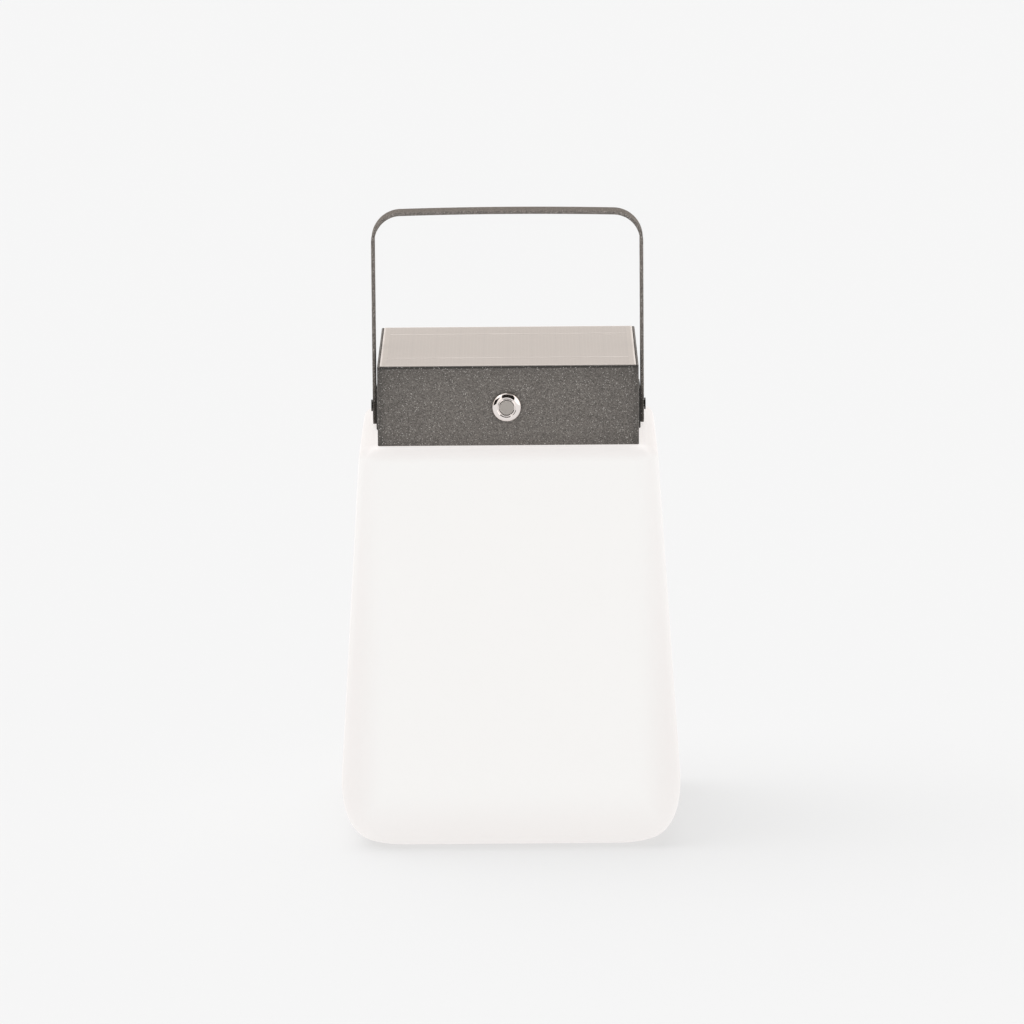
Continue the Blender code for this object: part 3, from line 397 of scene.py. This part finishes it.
def finish(name, mesh, look, body, *nodes, cuts=(), sharp=35):
    """Makes the bmesh an object that rides on the body and stands for the CAD nodes."""
    bmesh.ops.recalc_face_normals(mesh, faces=mesh.faces)
    made = linked(name, mesh)
    for places, radius, length, turn, operation in cuts:
        combine(made, places, radius, length, turn, operation)
    made.data.materials.clear()
    made.data.materials.append(look)
    made.data.shade_smooth()
    made.data.set_sharp_from_angle(angle=math.radians(sharp))
    flatten_normals(made)
    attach(made, body)
    if nodes:
        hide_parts(*nodes)
    return made


def linked(name, mesh):
    data = bpy.data.meshes.new(name)
    mesh.to_mesh(data)
    mesh.free()
    made = bpy.data.objects.new(name, data)
    bpy.context.scene.collection.objects.link(made)
    return made


def combine(piece, places, radius, length, turn, operation):
    """Cuts round holes through the piece or adds round bosses to it, and leaves no modifier behind."""
    mesh = bmesh.new()
    for place in places:
        matrix = Matrix.Translation(place) @ turn
        bmesh.ops.create_cone(
            mesh, cap_ends=True, segments=64, radius1=radius, radius2=radius, depth=length, matrix=matrix
        )
    cutter = linked("cutter", mesh)
    modifier = piece.modifiers.new("cut", "BOOLEAN")
    modifier.operation = operation
    modifier.object = cutter
    apply_modifier(piece)
    bpy.data.objects.remove(cutter)


def flatten_normals(piece):
    """Keeps flat faces flat in the shading, so that only the round edges beside them turn the light."""
    modifier = piece.modifiers.new("normals", "WEIGHTED_NORMAL")
    modifier.keep_sharp = True
    apply_modifier(piece)


def apply_modifier(piece):
    bpy.context.view_layer.update()
    graph = bpy.context.evaluated_depsgraph_get()
    evaluated = piece.evaluated_get(graph)
    result = bpy.data.meshes.new_from_object(evaluated, preserve_all_data_layers=True, depsgraph=graph)
    piece.modifiers.clear()
    piece.data = result


def joined_rings(rings, closed=False, into=None):
    """Bridges each ring of points to the next, and closes the ends with faces or with each other."""
    mesh = into or bmesh.new()
    loops = [[mesh.verts.new(point) for point in ring] for ring in rings]
    pairs = list(zip(loops, loops[1:]))
    if closed:
        pairs.append((loops[-1], loops[0]))
    for lower, upper in pairs:
        count = len(lower)
        for index in range(count):
            after = (index + 1) % count
            mesh.faces.new((lower[index], lower[after], upper[after], upper[index]))
    if not closed:
        mesh.faces.new(loops[0])
        mesh.faces.new(loops[-1])
    return mesh


def rectangle_ring(half_x, half_y, radius, height, corner_steps=8, side_steps=2):
    """A level rectangle with round corners, anticlockwise from the middle of its +X side."""
    corners = []
    for quarter, (side_x, side_y) in enumerate(((1, 1), (-1, 1), (-1, -1), (1, -1))):
        centre = Vector((side_x * (half_x - radius), side_y * (half_y - radius), height))
        steps = [(quarter + step / corner_steps) * math.pi / 2 for step in range(corner_steps + 1)]
        corners.append([centre + radius * Vector((math.cos(angle), math.sin(angle), 0)) for angle in steps])
    whole = []
    for corner, following in zip(corners, corners[1:] + corners[:1]):
        whole += corner
        whole += [corner[-1].lerp(following[0], step / side_steps) for step in range(1, side_steps)]
    turn = side_steps // 2
    return whole[-turn:] + whole[:-turn]


def round_ring(radius, height, count):
    angles = [2 * math.pi * index / count for index in range(count)]
    return [Vector((radius * math.cos(angle), radius * math.sin(angle), height)) for angle in angles]


def hexagon_ring(across_flats, height, count):
    points = []
    for index in range(count):
        angle = 2 * math.pi * index / count
        reach = across_flats / 2 / math.cos(angle % (math.pi / 3) - math.pi / 6)
        points.append(Vector((reach * math.cos(angle), reach * math.sin(angle), height)))
    return points


def arc(centre, radius, start, end, steps):
    """Points (u, v) of an arc, in degrees anticlockwise from +u."""
    points = []
    for step in range(steps + 1):
        angle = math.radians(start + (end - start) * step / steps)
        points.append((centre[0] + radius * math.cos(angle), centre[1] + radius * math.sin(angle)))
    return points


def placed(rings, matrix):
    return [[matrix @ point for point in ring] for ring in rings]


def turned_rings(profile, count):
    return [round_ring(radius, height, count) for radius, height in profile]


ALONG_X = Matrix.Rotation(math.pi / 2, 4, "Y")
ALONG_Y = Matrix.Rotation(math.pi / 2, 4, "X")


def pivot_holes(*across):
    """The cut for the handle's pivot, through the pieces at these places across the lantern."""
    places = [Vector((x, 0, PIVOT.z)) for x in across]
    return places, PIVOT_HOLE_RADIUS, THROUGH, ALONG_X, "DIFFERENCE"


# The camera, the light and the floor


def make_camera():
    data = bpy.data.cameras.new("camera")
    data.sensor_width = 36.0
    data.lens = 245.5
    data.clip_end = 200.0
    pitch, yaw, roll = math.radians(10.146), math.radians(0.130), math.radians(0.457)
    upright = Matrix.Rotation(yaw, 4, "Z") @ Matrix.Rotation(math.pi / 2 - pitch, 4, "X")
    camera = bpy.data.objects.new("camera", data)
    place = Matrix.Translation((0.0111, -4.1726, 0.9343))
    camera.matrix_world = place @ upright @ Matrix.Rotation(-roll, 4, "Z")
    bpy.context.scene.collection.objects.link(camera)
    bpy.context.scene.camera = camera


def make_sun(name, direction, strength, softness, lit=None):
    """A soft sun. If a piece is given, it lights that piece alone, though everything casts a shadow in it."""
    data = bpy.data.lights.new(name, "SUN")
    data.energy = strength
    data.angle = math.radians(softness)
    sun = bpy.data.objects.new(name, data)
    sun.matrix_world = Vector(direction).to_track_quat("-Z", "Y").to_matrix().to_4x4()
    bpy.context.scene.collection.objects.link(sun)
    if lit:
        receivers = bpy.data.collections.new(f"{name}_receivers")
        receivers.objects.link(lit)
        sun.light_linking.receiver_collection = receivers


def make_world():
    """White light from all round, less of it from above. What gloss sees is brighter and warmer, with a dim
    ceiling and two dark gaps in front."""
    world = bpy.data.worlds.new("studio")
    bpy.context.scene.world = world
    world.use_nodes = True
    tree = world.node_tree

    def node(kind, **settings):
        made = tree.nodes.new("ShaderNode" + kind)
        for key, value in settings.items():
            setattr(made, key, value)
        return made

    def number(operation, first, second=0.0):
        made = node("Math", operation=operation)
        for socket, value in zip(made.inputs, (first, second)):
            if isinstance(value, float):
                socket.default_value = value
            else:
                tree.links.new(value, socket)
        return made.outputs[0]

    def window(value, low, high, soft):
        """1 between low and high, falling to 0 over the soft width."""
        sides = []
        for edge, start, end in ((low, 0.0, 1.0), (high, 1.0, 0.0)):
            ramp = node("MapRange", interpolation_type="SMOOTHSTEP")
            for socket, amount in zip(ramp.inputs[1:5], (edge - soft, edge + soft, start, end)):
                socket.default_value = amount
            tree.links.new(value, ramp.inputs[0])
            sides.append(ramp.outputs[0])
        return number("MULTIPLY", *sides)

    def blend(share, first, second):
        made = node("Mix", data_type="RGBA")
        tree.links.new(share, made.inputs[0])
        for socket, value in zip(made.inputs[6:8], (first, second)):
            if isinstance(value, tuple):
                socket.default_value = (*value, 1.0)
            else:
                tree.links.new(value, socket)
        return made.outputs[2]

    parts = node("SeparateXYZ")
    tree.links.new(node("TexCoord").outputs["Generated"], parts.inputs[0])
    x, y, z = parts.outputs
    azimuth = number("DEGREES", number("ARCTAN2", x, number("MULTIPLY", y, -1.0)))
    elevation = number("DEGREES", number("ARCSINE", z))
    spread = number("DIVIDE", azimuth, number("ADD", elevation, 10.0))
    front_gap = number("MULTIPLY", window(spread, -0.48, 0.95, 0.05), window(elevation, -4.0, 54.0, 2.0))
    left_gap = number("MULTIPLY", window(azimuth, -70.0, -22.0, 4.0), window(elevation, -8.0, 26.0, 4.0))
    gloss = blend(window(y, -1.0, -0.2, 0.2), GLOSS_COLOUR, FRONT_GLOSS_COLOUR)
    gloss = blend(window(elevation, 57.0, 90.0, 2.0), gloss, CEILING_GLOSS_COLOUR)
    gloss = blend(number("MAXIMUM", front_gap, left_gap), gloss, GAP_COLOUR)
    sky = blend(z, SKY_COLOUR, CEILING_COLOUR)
    shown = blend(node("LightPath").outputs["Is Glossy Ray"], sky, gloss)
    background = tree.nodes["Background"]
    tree.links.new(shown, background.inputs["Color"])
    tree.links.new(number("ADD", number("MULTIPLY", x, 0.07), 1.0), background.inputs["Strength"])


def make_floor():
    mesh = bmesh.new()
    bmesh.ops.create_circle(mesh, cap_ends=True, radius=60.0, segments=96)
    floor = linked("floor", mesh)
    look = Look("studio_floor", Roughness=1.0, Specular_IOR_Level=0.0)
    look.set("Base Color", FLOOR_COLOUR)
    look.set("Emission Color", (1.0, 1.0, 1.0))
    look.set("Emission Strength", FLOOR_GLOW)
    floor.data.materials.append(look.material)
    floor.location.z = -0.2 * MM
    return floor


# The shade: one smooth moulded shell with its neck, bosses and wall


def shade_profile(foot_steps, side_steps, rim_steps):
    """(half width, height, corner radius) up the outside: an elliptical foot, a sloping side, a round rim."""
    height = shade_box[UPPER].z
    bottom_half, top_half = 104.0 * MM, 88.8 * MM
    foot_draw, foot_height = 24.0 * MM, 44.2 * MM
    foot_corner, corner, rim = 21.5 * MM, 14.9 * MM, 8.0 * MM
    slope = (bottom_half - top_half) / height
    profile = []
    for step in range(foot_steps + 1):
        share = step / foot_steps
        angle = share * math.pi / 2
        z = foot_height * (1 - math.cos(angle))
        half = bottom_half - slope * z - foot_draw * (1 - math.sin(angle))
        profile.append((half, z, corner + (foot_corner - corner) * (1 - share) ** 2))
    for step in range(1, side_steps):
        z = foot_height + (height - rim - foot_height) * step / side_steps
        profile.append((bottom_half - slope * z, z, corner))
    for step in range(rim_steps + 1):
        angle = step / rim_steps * math.pi / 2
        z = height - rim * (1 - math.sin(angle))
        profile.append((bottom_half - slope * z - rim * (1 - math.cos(angle)), z, corner))
    return profile


def drawn_in(profile, wall):
    """The same profile moved inwards by the wall thickness, square to its own direction."""
    before_first = (profile[0][0] - MM, profile[0][1])
    after_last = (profile[-1][0] - MM, profile[-1][1])
    line = [before_first, *[(half, height) for half, height, _ in profile], after_last]
    inner = []
    for before, (half, height, corner), after in zip(line, profile, line[2:]):
        along = (Vector(after) - Vector(before)).normalized()
        inner.append((half - wall * along.y, height + wall * along.x, corner - wall))
    return inner


def make_shade(look):
    wall, neck_radius, edge = 2.4 * MM, 40 * MM, 0.5 * MM
    top = shade_box[UPPER].z
    corner_steps, side_steps = 14, 8
    count = 4 * (corner_steps + side_steps)

    def rings(profile):
        steps = (corner_steps, side_steps)
        return [rectangle_ring(half, half, corner, height, *steps) for half, height, corner in profile]

    neck_profile = arc((neck_radius + edge, top - edge), edge, 90, 180, 4) + [(neck_radius, top - wall)]
    neck = turned_rings(neck_profile, count)
    outside = rings(shade_profile(24, 8, 12))
    inside = rings(drawn_in(shade_profile(12, 2, 6), wall))
    screw_boxes = [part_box(f"shade_insert_{number}") for number in (1, 2, 3, 4)]
    corners = [(lower + upper) / 2 for lower, upper in screw_boxes]
    bore = (screw_boxes[0][UPPER].x - screw_boxes[0][LOWER].x) / 2 + 0.3 * MM
    boss_depth = 9.0 * MM
    boss_middle, boss_length = top - wall - boss_depth / 2 + wall / 4, boss_depth + wall / 2
    bosses = [Vector((place.x, place.y, boss_middle)) for place in corners]
    bores = [Vector((place.x, place.y, top)) for place in corners]
    upright = Matrix()
    cuts = [
        (bosses, 6.5 * MM, boss_length, upright, "UNION"),
        (bores, bore, 2 * (wall + boss_depth - 1.5 * MM), upright, "DIFFERENCE"),
    ]
    shell = joined_rings(outside + neck + inside[::-1])
    finish("shade_shell", shell, look, "lantern", "shade", cuts=cuts, sharp=50)


# The casing and the handle: folded and bent sheet with round edges


def make_casing(look):
    inner, outer, edge, bend = CASING_HALF - SHEET, CASING_HALF, 0.35 * MM, 1.3 * MM
    profile = [(outer, CASING_BOTTOM + edge)]
    profile += arc((outer - edge, CASING_TOP - edge), edge, 0, 90, 4)
    profile += arc((inner + edge, CASING_TOP - edge), edge, 90, 180, 4)
    profile += [(inner, CASING_BOTTOM + edge), (inner + edge, CASING_BOTTOM)]
    profile += arc((outer - edge, CASING_BOTTOM + edge), edge, 270, 330, 2)
    rings = [rectangle_ring(half, half, max(bend - (outer - half), 0.2 * MM), z) for half, z in profile]
    switch_hole = ([SWITCH_CENTRE], SWITCH_HOLE_RADIUS, THROUGH, ALONG_Y, "DIFFERENCE")
    cuts = [switch_hole, pivot_holes(-outer, outer)]
    finish("casing_shell", joined_rings(rings, closed=True), look, "lantern", "casing", cuts=cuts)


def handle_stations():
    """(place, direction out of the strip) along its outer face, from the right leg's end to the left's. The
    grip rises in a slight bow to its middle."""
    half, end_radius = handle_box[UPPER].x, handle_box[UPPER].y
    bottom, top = handle_box[LOWER].z, handle_box[UPPER].z
    bend, bow = 18 * MM, 0.8 * MM
    bend_centre = Vector((half - bend, 0, top - bow - bend))
    right = []
    foot_steps, bend_steps, grip_steps = 14, 24, 12
    for step in range(foot_steps + 1):
        height = bottom + end_radius * (1 - math.sin(math.radians(87) * (1 - step / foot_steps)))
        right.append((Vector((half, 0, height)), Vector((1, 0, 0))))
    for share in (0.25, 0.5, 0.75):
        height = bottom + end_radius + share * (bend_centre.z - bottom - end_radius)
        right.append((Vector((half, 0, height)), Vector((1, 0, 0))))
    for across, up in arc((0, 0), 1.0, 0, 90, bend_steps):
        out = Vector((across, 0, up))
        right.append((bend_centre + bend * out, out))
    for step in range(1, grip_steps):
        share = 1 - step / grip_steps
        right.append((Vector((share * bend_centre.x, 0, top - bow * share**2)), Vector((0, 0, 1))))
    mirrored = [(Vector((-place.x, 0, place.z)), Vector((-out.x, 0, out.z))) for place, out in right[::-1]]
    return [*right, (Vector((0, 0, top)), Vector((0, 0, 1))), *mirrored]


def make_handle(look):
    """The strip has round edges, and its width is drawn in round a half circle at each end."""
    width_half, thickness, edge = handle_box[UPPER].y, 2.0 * MM, 0.6 * MM
    end_centre = handle_box[LOWER].z + width_half
    corners = ((edge, 1, 180), (thickness - edge, 1, 90), (thickness - edge, -1, 0), (edge, -1, -90))
    rings = []
    for place, out in handle_stations():
        below = max(end_centre - place.z, 0)
        half = max(math.sqrt(max(width_half**2 - below**2, 0)), edge)
        ring = []
        for depth, side, start in corners:
            for inwards, across in arc((depth, side * (half - edge)), edge, start, start - 90, 4):
                ring.append(place - inwards * out + Vector((0, across, 0)))
        rings.append(ring)
    half = handle_box[UPPER].x
    cuts = [pivot_holes(-half, half)]
    finish("handle_strip", joined_rings(rings), look, "handle", "handle", cuts=cuts)


def make_hinge_plate(name, look):
    lower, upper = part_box(name)
    middle, size = (lower + upper) / 2, upper - lower
    edge, corner = 0.3 * MM, 1.0 * MM
    rings = []
    for grown, height in ((-edge, 0), (0, edge), (0, size.x - edge), (-edge, size.x)):
        half_y, half_z = size.y / 2 + grown, size.z / 2 + grown
        rings.append(rectangle_ring(half_y, half_z, corner + grown, height - size.x / 2))
    turn = Matrix.Translation(middle) @ Matrix.Rotation(math.pi / 2, 4, "Z") @ ALONG_Y
    mesh = joined_rings(placed(rings, turn))
    finish(f"{name}_bevelled", mesh, look, "lantern", name, cuts=[pivot_holes(middle.x)])


def make_pivot_screw(name, look):
    """A low flat head with a bevelled edge and a hexagon socket, on a plain shank."""
    lower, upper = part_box(name)
    side = 1 if lower.x > 0 else -1
    outer_face = max(upper.x, -lower.x)
    inner_end = min(abs(lower.x), abs(upper.x))
    height, radius, bevel = 0.8 * MM, (upper.z - lower.z) / 2, 0.2 * MM
    socket, socket_depth, lead_in = 2.2 * MM, 1.6 * MM, 0.1 * MM
    count = 48
    rings = [hexagon_ring(socket, level, count) for level in (height - socket_depth, height - lead_in)]
    rings.append(hexagon_ring(socket + 2 * lead_in, height, count))
    shank, undercut = 2.0 * MM, 0.1 * MM
    profile = arc((radius - bevel, height - bevel), bevel, 90, 0, 4)
    profile += [(radius, undercut), (radius - undercut, 0)]
    profile += [(shank, 0), (shank, inner_end - outer_face + height)]
    rings += turned_rings(profile, count)
    seat = Matrix.Translation((side * (outer_face - height), 0, PIVOT.z))
    turn = seat @ Matrix.Rotation(side * math.pi / 2, 4, "Y")
    finish(f"{name}_socket", joined_rings(placed(rings, turn)), look, "lantern", name)


# The push-button switch, turned about an axis that points out of the casing's front


def at_front(rings):
    return placed(rings, Matrix.Translation(SWITCH_CENTRE) @ ALONG_Y)


def make_bezel(look):
    """A lip round the button, a shallow groove (radius and depth in millimetres), and a dome that falls to
    the rim. A flat for a spanner is cut in the rim, just left of its lowest point."""
    face = -CASING_HALF - bezel_box[LOWER].y
    rim_radius, back = half_width(bezel_box), 1.1 * MM
    rear = -(bezel_box[UPPER].y + CASING_HALF)
    bore, stem_bore, barrel = 4.65 * MM, 2.3 * MM, 7.8 * MM
    shelf = face - 8.7 * MM
    lip = arc((bore + 0.2 * MM, face - 0.2 * MM), 0.2 * MM, 180, 90, 4)
    lip += arc((bore + 0.35 * MM, face - 0.25 * MM), 0.25 * MM, 90, 15, 4)
    groove = [(5.33, 0.40), (5.42, 0.44), (5.52, 0.43), (5.65, 0.38), (5.78, 0.32), (5.90, 0.28)]
    dome_depth = 0.27
    groove.append((6.00, dome_depth))
    profile = lip + [(radius * MM, face - depth * MM) for radius, depth in groove]
    crest, drop, dome_steps = 5.2 * MM, 1.9 * MM, 18
    reach = rim_radius - crest
    start = math.asin((6.1 * MM - crest) / reach)
    for step in range(dome_steps + 1):
        angle = start + (math.pi / 2 - start) * step / dome_steps
        fall = drop * (math.cos(start) - math.cos(angle))
        profile.append((crest + reach * math.sin(angle), face - dome_depth * MM - fall))
    chamfer = 0.05 * MM
    profile += [(rim_radius, back + chamfer), (rim_radius - chamfer, back), (barrel, back), (barrel, rear)]
    profile += [(stem_bore, rear), (stem_bore, shelf), (bore, shelf)]
    count = 144
    rings = turned_rings(profile, count)
    flat_radius, flat_start, flat_end = rim_radius - 0.45 * MM, 247, 268
    for ring in rings:
        for index, point in enumerate(ring):
            radius = point.to_2d().length
            if flat_start < 360 * index / count < flat_end and radius > flat_radius:
                ring[index] = Vector((*(point.to_2d() * flat_radius / radius), point.z))
    mesh = joined_rings(at_front(rings), closed=True)
    finish("switch_bezel", mesh, look, "lantern", "switch_body", sharp=40)


def make_button(look):
    """A disc with a round edge and a very slightly dished face, on a stem."""
    face = -CASING_HALF - button_box[LOWER].y
    radius, edge, stem = half_width(button_box), 0.22 * MM, 2.0 * MM
    back = face - 4.3 * MM
    end = -(button_box[UPPER].y + CASING_HALF)
    profile = [(0.8 * MM, face - 0.06 * MM), (0.7 * radius, face - 0.03 * MM)]
    profile += arc((radius - edge, face - edge), edge, 90, 0, 5)
    profile += [(radius, back), (stem, back), (stem, end)]
    finish("button_disc", joined_rings(at_front(turned_rings(profile, 96))), look, "button", "button_cap")


def make_seal(look):
    lower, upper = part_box("switch_seal")
    front, back = -CASING_HALF - lower.y, -CASING_HALF - upper.y
    outer, inner, edge = (upper.x - lower.x) / 2, SWITCH_HOLE_RADIUS, 0.12 * MM
    profile = [(inner, back), (inner, front)]
    profile += [*arc((outer - edge, front - edge), edge, 90, 0, 3), (outer, back)]
    rings = at_front(turned_rings(profile, 96))
    finish("switch_gasket", joined_rings(rings, closed=True), look, "lantern", "switch_seal")


# The solar panel: the film over the cells, with a low ridge where it lies over each ribbon


def make_cover(look):
    lower, upper = cover_box
    half, edge = upper.x, 0.22 * MM
    profile = [(half - edge, lower.z), (half, lower.z + edge)]
    profile += arc((half - edge, upper.z - edge), edge, 0, 90, 4)
    rings = [rectangle_ring(reach, reach, 0.8 * MM - (half - reach), z) for reach, z in profile]
    finish("panel_film", joined_rings(rings), look, "lantern", "panel_cover")


def make_ribbon_ridge(name, y, look):
    half_length, half_across = 72.0 * MM, 1.0 * MM
    rise, sunk = 0.07 * MM, 0.02 * MM
    top = cover_box[UPPER].z
    rings = []
    for share, height in ((1.0, -sunk), (0.96, 0.35 * rise), (0.75, 0.85 * rise), (0.4, rise)):
        reach = share * half_across
        length = half_length - half_across + reach
        ring = rectangle_ring(length, reach, 0.9 * reach, top + height)
        rings.append([point + Vector((0, y, 0)) for point in ring])
    finish(name, joined_rings(rings), look, "lantern")


CELL_COUNT = 10
FINGERS_PER_CELL = 7
RIBBON_PLACE = 47.0 * MM
FILM_GLOSS = {"Roughness": 0.30, "Specular_IOR_Level": 0.5, "Coat_Weight": 0.45, "Coat_Roughness": 0.18}
SLOTS = {part["node"]: part["material_slot"] for part in frame["record"]["subparts"]}
SKY_COLOUR = (1.09, 1.09, 1.09)
CEILING_COLOUR = (0.60, 0.60, 0.60)
GLOSS_COLOUR = (1.28, 1.18, 1.10)
FRONT_GLOSS_COLOUR = (1.40, 1.36, 1.34)
CEILING_GLOSS_COLOUR = (0.30, 0.28, 0.26)
GAP_COLOUR = (0.02, 0.018, 0.016)
# Painted glow of the shade: its strength, its colour, and its warmer colour where the wall turns.
SHADE_GLOW_STRENGTH = 0.622
SHADE_GLOW = (1.0, 0.99, 0.974)
SHADE_EDGE_GLOW = (0.943, 0.901, 0.883)
FLOOR_COLOUR = (0.40, 0.40, 0.40)
FLOOR_GLOW = 0.408

bpy.context.scene.view_settings.view_transform = "Standard"
make_camera()
make_world()
make_sun("key", (0.40, 0.0, -0.90), 0.53, 55)
make_sun("floor_light", (0.35, -0.25, -0.90), 1.30, 90, make_floor())

coat = powder_coat("painted_steel")
black_steel = plain_metal("black_steel", (0.035, 0.032, 0.030), 0.42)
chrome = polished_metal("chrome", (0.86, 0.80, 0.77))
satin = turned_metal("satin_button", (0.51, 0.475, 0.44), 0.42, SWITCH_CENTRE, (0, 2))
plate_coat = powder_coat("plate_coat", fleck=0.3, tone=0.22)
rubber = moulded_plastic("black_rubber", (0.022, 0.020, 0.018), 0.7)
make_shade(shade_plastic())
make_casing(powder_coat("casing_coat", casing=True))
make_handle(powder_coat("handle_coat", fleck=1.4, grip=True))
for word in ("left", "right"):
    make_hinge_plate(f"handle_plate_{word}", plate_coat)
    make_pivot_screw(f"handle_screw_{word}", black_steel)
make_bezel(chrome)
make_button(satin)
make_seal(rubber)
make_cover(panel_film())
ribbon = ribbon_film()
make_ribbon_ridge("ribbon_ridge_front", -RIBBON_PLACE, ribbon)
make_ribbon_ridge("ribbon_ridge_rear", RIBBON_PLACE, ribbon)

looks = {
    "shade_plastic": diffusing_plastic(),
    "diffusing_plastic": diffusing_plastic(),
    "painted_steel": coat,
    "black_steel": black_steel,
    "zinc_steel": plain_metal("zinc_steel", (0.62, 0.62, 0.60)),
    "polished_bezel": chrome,
    "satin_button": satin,
    "brass": plain_metal("brass", (0.72, 0.50, 0.20), 0.3),
    "black_rubber": rubber,
    "grey_foam": foam("grey_foam", (0.16, 0.16, 0.16)),
    "panel_cover_sheet": panel_film(),
    "silicon_cells": silicon_cells(),
    "panel_laminate": moulded_plastic("panel_laminate", (0.80, 0.79, 0.75), 0.45),
    "white_board": moulded_plastic("white_board", (0.84, 0.84, 0.80), 0.4),
    "green_board": circuit_green(),
    "black_plastic": moulded_plastic("black_plastic", (0.025, 0.025, 0.026), 0.45),
    "bare_aluminium": plain_metal("bare_aluminium", (0.82, 0.82, 0.83), 0.32),
    "led_phosphor": led_phosphor(),
    "battery_sleeve": battery_sleeve(),
    "red_wire": wire_sleeve("red_wire", (0.50, 0.02, 0.015)),
    "black_wire": wire_sleeve("black_wire", (0.02, 0.02, 0.02)),
}
for name, node in frame["nodes"].items():
    node.data.materials.clear()
    node.data.materials.append(looks[SLOTS[name]])
